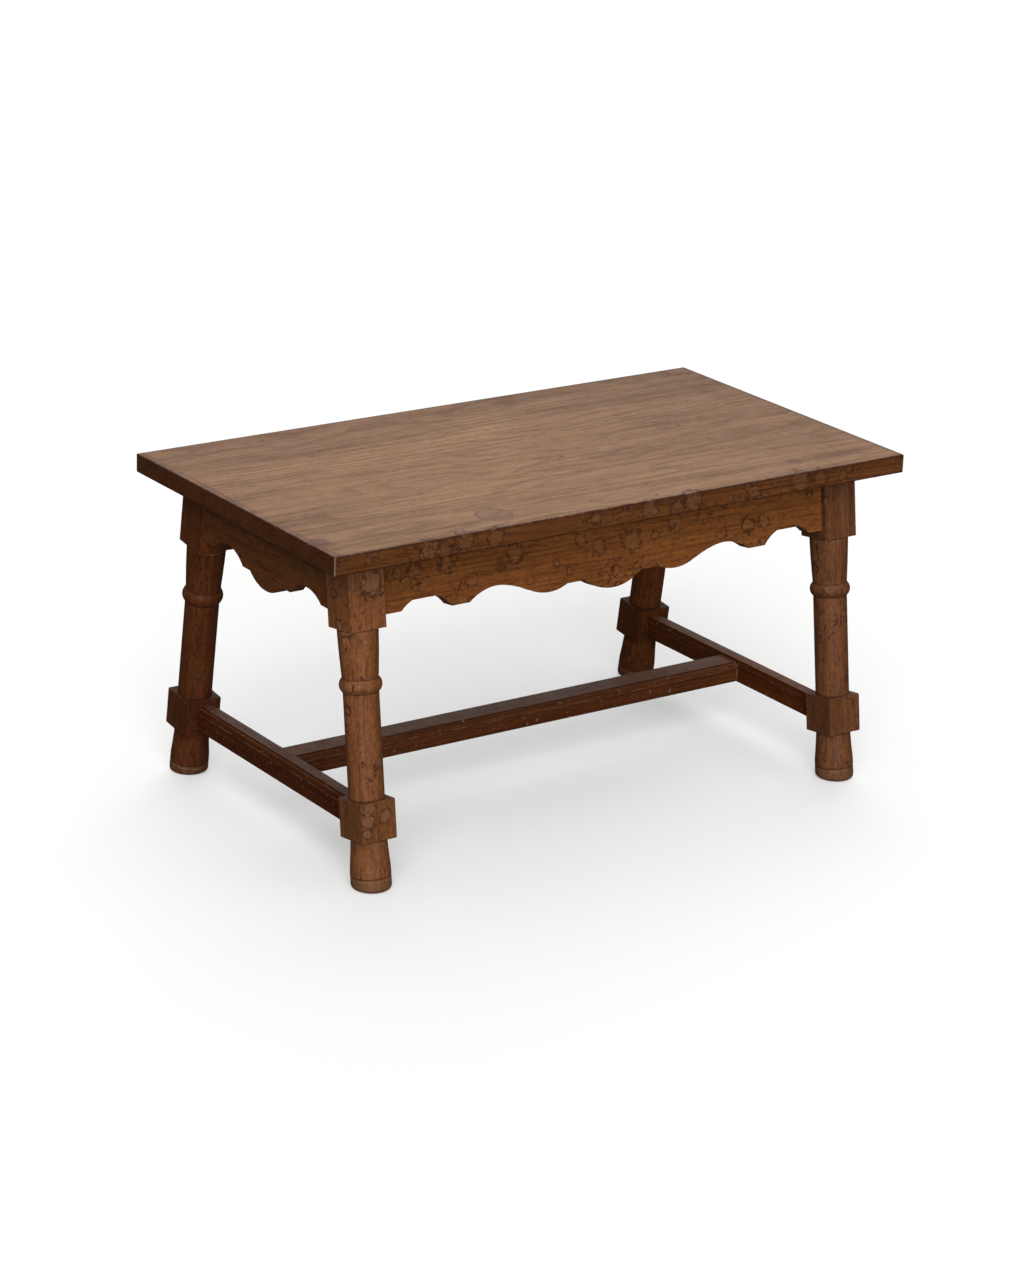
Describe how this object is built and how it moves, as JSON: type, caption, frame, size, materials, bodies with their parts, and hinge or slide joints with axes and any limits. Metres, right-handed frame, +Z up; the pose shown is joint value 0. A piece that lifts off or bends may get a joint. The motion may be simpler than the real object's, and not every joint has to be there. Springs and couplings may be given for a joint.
{
  "type": "low communion table",
  "caption": "Low oak table with splayed turned legs, scalloped aprons, a moulded H-shaped stretcher frame and a boarded overhanging top.",
  "frame": {"origin": "on the floor under the centre of the top", "axes": "+Z up, X along the table's length, Y across it with the front at -Y"},
  "size_m": [1, 0.57, 0.505],
  "materials": {
    "top_oak": "worn matt oil",
    "apron_oak": "satin, water marked",
    "leg_oak": "satin",
    "stretcher_oak": "satin, dark stained",
    "button_oak": "bare",
    "screw_steel": "dull"
  },
  "bodies": {
    "root": {"top_board_1": "top_oak", "top_board_2": "top_oak", "top_board_3": "top_oak", "top_board_4": "top_oak", "top_board_5": "top_oak", "leg_front_left": "leg_oak", "leg_front_right": "leg_oak", "leg_back_left": "leg_oak", "leg_back_right": "leg_oak", "apron_front": "apron_oak", "apron_back": "apron_oak", "apron_left": "apron_oak", "apron_right": "apron_oak", "stretcher_left": "stretcher_oak", "stretcher_right": "stretcher_oak", "stretcher_center": "stretcher_oak", "top_button_front_left": "button_oak", "top_button_front_center": "button_oak", "top_button_front_right": "button_oak", "top_button_back_left": "button_oak", "top_button_back_center": "button_oak", "top_button_back_right": "button_oak", "top_button_left": "button_oak", "top_button_right": "button_oak", "button_screws": "screw_steel"}
  },
  "joints": []
}
